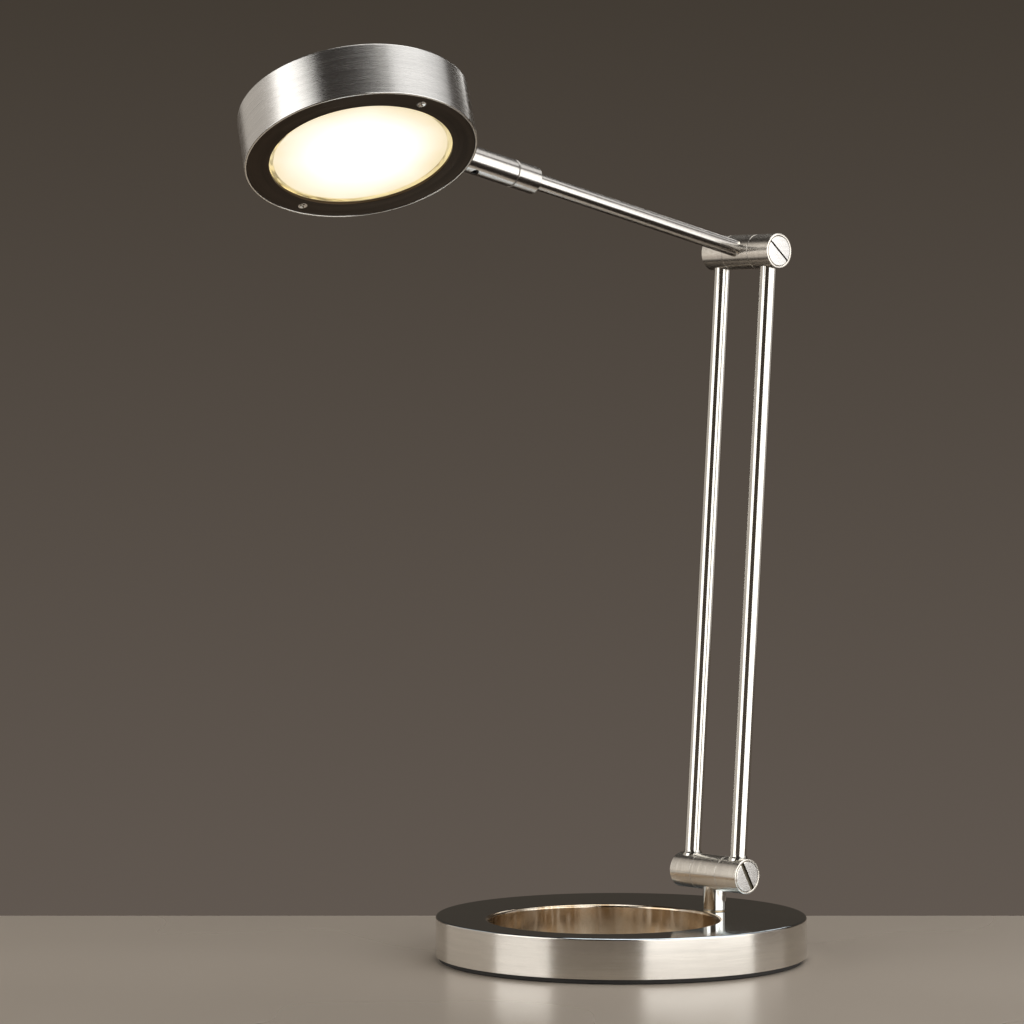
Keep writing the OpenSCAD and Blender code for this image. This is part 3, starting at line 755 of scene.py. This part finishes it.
def make_rods():
    for name, side in (("rod_left", 1), ("rod_right", -1)):
        bm = tube(ROD_R - TUBE_WALL, ROD_R, ROD_SOCKET_FLOOR, rod_span - ROD_SOCKET_FLOOR, 0.2)
        place = RODS @ along(0, side * ROD_Y, 0)
        piece(f"{name}_tube", bm, place, "rods", [rod_nickel], [name])
        flare = turned([
            (ROD_R, 7.4), (ROD_R + 1.0, 7.4), (ROD_R + 0.9, 8.7, 0.3), (ROD_R + 0.35, 9.4, 0.3),
            (ROD_R, 10.4)], SMALL_SIDES)
        piece(f"{name}_foot", flare, place, "rods", [rod_nickel])


def make_arm():
    groove, neck = DOG_GROOVE_SIDE, ARM_R - DOG_GROOVE_DEPTH
    bm = turned([
        (ARM_R - TUBE_WALL, EYE_SOCKET_FLOOR), (ARM_R, EYE_SOCKET_FLOOR),
        (ARM_R, DOG_GROOVE_AT - groove), (neck, DOG_GROOVE_AT - groove),
        (neck, DOG_GROOVE_AT + groove), (ARM_R, DOG_GROOVE_AT + groove),
        (ARM_R, TUBE_END, 0.3), (ARM_R - TUBE_WALL, TUBE_END)])
    piece("arm_turned", bm, ARM, "arm", [satin_sleeve], ["arm_tube"])
    collar = tube(ARM_R, SLEEVE_R, COLLAR_AT, COLLAR_AT + COLLAR_L, 0.4)
    piece("arm_collar_turned", collar, ARM, "arm", [satin_sleeve],
          ["arm_collar"])


def make_sleeve():
    rear, bore = DRUM_R + SLEEVE_L, ARM_R + RUNNING_GAP
    bm = turned([
        (bore, DRUM_R + SLEEVE_BORE_FROM), (SLEEVE_PASSAGE_R, DRUM_R + SLEEVE_BORE_FROM),
        (SLEEVE_PASSAGE_R, DRUM_R - SLEEVE_ROOT), (SLEEVE_R, DRUM_R - SLEEVE_ROOT),
        (SLEEVE_R, rear, 0.4), (bore, rear)])
    down = HEAD @ along(DRUM_R + SET_SCREW_AT, 0, 0)
    neck = tube(SLEEVE_PASSAGE_R, SLEEVE_NECK_R, DRUM_R - 6, DRUM_R + 1, 0.2, SMALL_SIDES)
    piece("sleeve_turned", bm, SLEEVE, "head", [satin_sleeve], ["sleeve"],
          [drill(HEAD, DRUM_R, -SLEEVE_R - PAST, SLEEVE_R + PAST, 256),
           drill(down, SET_SCREW_R + RUNNING_GAP, -SLEEVE_R - PAST, 0)])
    piece("sleeve_neck", neck, SLEEVE, "head", [satin_sleeve])


def make_set_screw():
    low = SET_SCREW_SUNK - SLEEVE_R
    bm = turned([
        (0, low), (SET_SCREW_R, low, 0.25), (SET_SCREW_R, DOG_ROOT), (DOG_R, DOG_ROOT),
        (DOG_R, DOG_TIP, 0.2), (0, DOG_TIP)], TINY_SIDES)
    place = HEAD @ along(DRUM_R + SET_SCREW_AT, 0, 0)
    piece("set_screw_socketed", bm, place, "head", [black_oxide],
          ["set_screw"], [drill(place, SOCKET_R, low - PAST, low + SOCKET_DEPTH, 6)])


# ---- head ----

def bezel_screw_places():
    """The places of the two screws that hold the bezel, opposite each other."""
    for turn in (BEZEL_SCREW_TURN, BEZEL_SCREW_TURN + 180):
        yield HEAD @ turned_about("Z", turn) @ along(BEZEL_SCREW_X, 0, 0)


def make_drum():
    wall = DRUM_R - DRUM_WALL
    bm = turned([
        (0, DRUM_ROOF), (wall, DRUM_ROOF), (wall, DRUM_BOTTOM, 0.25),
        (DRUM_R, DRUM_BOTTOM, 0.5), (DRUM_R, DRUM_TOP, 0.6), (0, DRUM_TOP)], 256)

    def finish_of(spot, normal):
        if spot.z < DRUM_BOTTOM + 0.35:
            return 2
        return 1 if spot.z > DRUM_TOP - 0.4 and normal.z > 0.5 else 0

    piece("drum_shell", bm, HEAD, "head",
          [drum_brushed, roof_turned, rim_nickel], ["shade"],
          [drill(SLEEVE, SLEEVE_NECK_R, wall - PAST, DRUM_R + PAST)], finish_of)
    for number, place in enumerate(bezel_screw_places(), 1):
        boss = tube(BEZEL_SHANK_R, BOSS_R, BEZEL_TOP, DRUM_ROOF, 0.2, TINY_SIDES)
        piece(f"drum_boss_{number}", boss, place, "head", [drum_brushed])


def make_bezel():
    bm = turned([
        (BEZEL_IN_R, BEZEL_TOP), (BEZEL_IN_R, BEZEL_BOTTOM, 0.35),
        (BEZEL_OUT_R, BEZEL_BOTTOM, 0.2), (BEZEL_OUT_R, BEZEL_TOP)], 256)
    sinks = []
    for number, place in enumerate(bezel_screw_places(), 1):
        sinks.append(drill(place, BEZEL_HEAD_R + BEZEL_SINK_ROOM, BEZEL_BOTTOM - PAST,
                           BEZEL_BOTTOM + BEZEL_SINK_T, 64))
        make_bezel_screw(number, place)
    piece("bezel_ring", bm, HEAD, "head", [bezel_turned], ["bezel"], sinks)


def make_bezel_screw(number, place):
    low = BEZEL_BOTTOM
    bm = turned([
        (0, low + 0.22), (1.5, low + 0.10), (BEZEL_HEAD_R, low, 0.12), (BEZEL_HEAD_R, low + 0.4),
        (BEZEL_SHANK_R, low + 1.4), (BEZEL_SHANK_R, low + BEZEL_SCREW_L, 0.2),
        (0, low + BEZEL_SCREW_L)], TINY_SIDES)
    made = piece(f"bezel_screw_{number}", bm, place, "head", [rim_nickel], (),
                 [block(place @ turned_about("Z", BEZEL_SLOT_TURN), BEZEL_SLOT, (0, 0, low))])
    if number == 1:
        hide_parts("bezel_screws")


def make_glass():
    frosted_r = 41.3
    border_r, border_z = GLASS_R - 1.2, GLASS_BOTTOM + 0.9
    bm = turned([
        (0, GLASS_BOTTOM), (frosted_r, GLASS_BOTTOM, 0.2), (border_r, border_z),
        (GLASS_R, border_z, 0.2),
        (GLASS_R, GLASS_TOP, 0.4), (0, GLASS_TOP)], 192)
    piece("glass_disc", bm, HEAD, "head", [frosted, clear_border], ["glass"],
          (), lambda spot, normal: 1 if spot.xy.length > frosted_r else 0)


make_base_ring()
make_pad()
make_grommet()
make_post()
make_barrel("lower", LOWER_BARREL, "post", "lower_eye", POST_TOP, SPIGOT_R,
            ("lower_left_knuckle", "lower_right_knuckle"))
make_barrel("upper", UPPER_BARREL, "arm", "upper_eye", ARM, ARM_R,
            ("upper_left_knuckle", "upper_right_knuckle"))
make_pivot_screw("lower", LOWER_BARREL, LOWER_SLOT_W, -LOWER_SLOT_TURN)
make_pivot_screw("upper", UPPER_BARREL, UPPER_SLOT_W, -UPPER_SLOT_TURN)
make_rods()
make_arm()
make_sleeve()
make_set_screw()
make_drum()
make_bezel()
make_glass()


# ---- floor, light and camera ----

VIEW_TURN = 41.5  # the camera looks along +Y turned this far towards +X
VIEW_DIP = 1.435
CAMERA_SPOT = (-1.4482, -1.4797, 0.2793)
FOCAL_LENGTH = 141.7
LAMP_MIDDLE = Vector((-0.05, 0, 0.24))


def make_floor():
    """A plain pale table top, squared to the view."""
    width, back, front, thickness = 0.58, 0.157, -0.27, 0.02
    view_axis = -0.104  # how far the camera's axis passes from the post, to its right
    bm = bmesh.new()
    bmesh.ops.create_cube(
        bm, size=1,
        matrix=Matrix.Rotation(-math.radians(VIEW_TURN), 4, "Z")
        @ Matrix.Translation((view_axis, (back + front) / 2, -thickness / 2))
        @ Matrix.Diagonal((width, back - front, thickness, 1)))
    mesh = bpy.data.meshes.new("floor")
    bm.to_mesh(mesh)
    bm.free()
    floor = bpy.data.objects.new("floor", mesh)
    bpy.context.scene.collection.objects.link(floor)
    recipe = Recipe("pale_floor")
    soft = recipe.noise(recipe.where(False, (3, 3, 3)), detail=2.0)
    recipe.join(recipe.blend(soft, (0.48, 0.42, 0.355), (0.52, 0.455, 0.385)),
                recipe.shader.inputs["Base Color"])
    recipe.join(recipe.between(soft, 0.25, 0.31), recipe.shader.inputs["Roughness"])
    mesh.materials.append(recipe.material)


def softbox(name, turn, rise, distance, width, height, power, tint=(1, 1, 1)):
    """An area light aimed at the lamp. turn is measured from the camera's side of the lamp,
    positive to the camera's right."""
    around = math.radians(VIEW_TURN + 180 - turn)
    up = math.radians(rise)
    way = Vector((math.sin(around) * math.cos(up), math.cos(around) * math.cos(up),
                  math.sin(up)))
    light = bpy.data.lights.new(name, "AREA")
    light.shape = "RECTANGLE"
    light.size = width
    light.size_y = height
    light.energy = power
    light.color = tint
    lamp = bpy.data.objects.new(name, light)
    lamp.matrix_world = (Matrix.Translation(LAMP_MIDDLE + way * distance)
                         @ way.to_track_quat("Z", "Y").to_matrix().to_4x4())
    lamp.visible_camera = False
    bpy.context.scene.collection.objects.link(lamp)


def make_light():
    softbox("left_softbox", -64, 16, 1.6, 1.16, 1.5, 10, (1.0, 0.98, 0.95))
    softbox("left_fill", -110, 8, 1.6, 1.6, 2.1, 4.6, (1.0, 0.93, 0.85))
    softbox("right_softbox", 49, 12, 1.6, 2.5, 1.6, 24, (1.0, 0.99, 0.97))
    softbox("right_fill", 102, 12, 1.6, 0.9, 1.1, 1.1, (1.0, 0.95, 0.92))
    softbox("upper_softbox", 91, 54, 1.6, 1.8, 0.9, 4.2, (1.0, 0.99, 0.98))
    softbox("top_softbox", 150, 78, 1.7, 1.3, 1.3, 11, (1.0, 0.98, 0.95))
    softbox("back_light", 160, 24, 1.8, 0.4, 0.3, 0.8, (1.0, 0.98, 0.95))
    world = bpy.data.worlds.new("studio")
    bpy.context.scene.world = world
    world.use_nodes = True
    tree = world.node_tree
    background = tree.nodes["Background"]
    coords = tree.nodes.new("ShaderNodeTexCoord")
    parts = tree.nodes.new("ShaderNodeSeparateXYZ")
    lowest, highest = -0.5, 0.5  # a direction's Z at the ramp's two ends
    span = tree.nodes.new("ShaderNodeMapRange")
    span.inputs["From Min"].default_value = lowest
    span.inputs["From Max"].default_value = highest
    ramp = tree.nodes.new("ShaderNodeValToRGB")
    ramp.color_ramp.elements[0].color = (0.018, 0.014, 0.011, 1)
    ramp.color_ramp.elements[1].color = (0.032, 0.028, 0.025, 1)
    for height, tone in ((-0.15, (0.126, 0.103, 0.086, 1)), (0.11, (0.053, 0.043, 0.033, 1))):
        ramp.color_ramp.elements.new(height - lowest).color = tone
    tree.links.new(coords.outputs["Generated"], parts.inputs["Vector"])
    tree.links.new(parts.outputs["Z"], span.inputs["Value"])
    tree.links.new(span.outputs["Result"], ramp.inputs["Fac"])
    tree.links.new(ramp.outputs["Color"], background.inputs["Color"])


def make_camera():
    camera = bpy.data.cameras.new("camera")
    camera.lens = FOCAL_LENGTH
    camera.sensor_width = 36
    camera.clip_start = 0.01
    camera.clip_end = 50
    view = bpy.data.objects.new("camera", camera)
    view.matrix_world = (Matrix.Translation(CAMERA_SPOT) @ turned_about("Z", -VIEW_TURN)
                         @ turned_about("X", 90 - VIEW_DIP))
    bpy.context.scene.collection.objects.link(view)
    bpy.context.scene.camera = view
    bpy.context.scene.view_settings.view_transform = "Standard"


make_floor()
make_light()
make_camera()
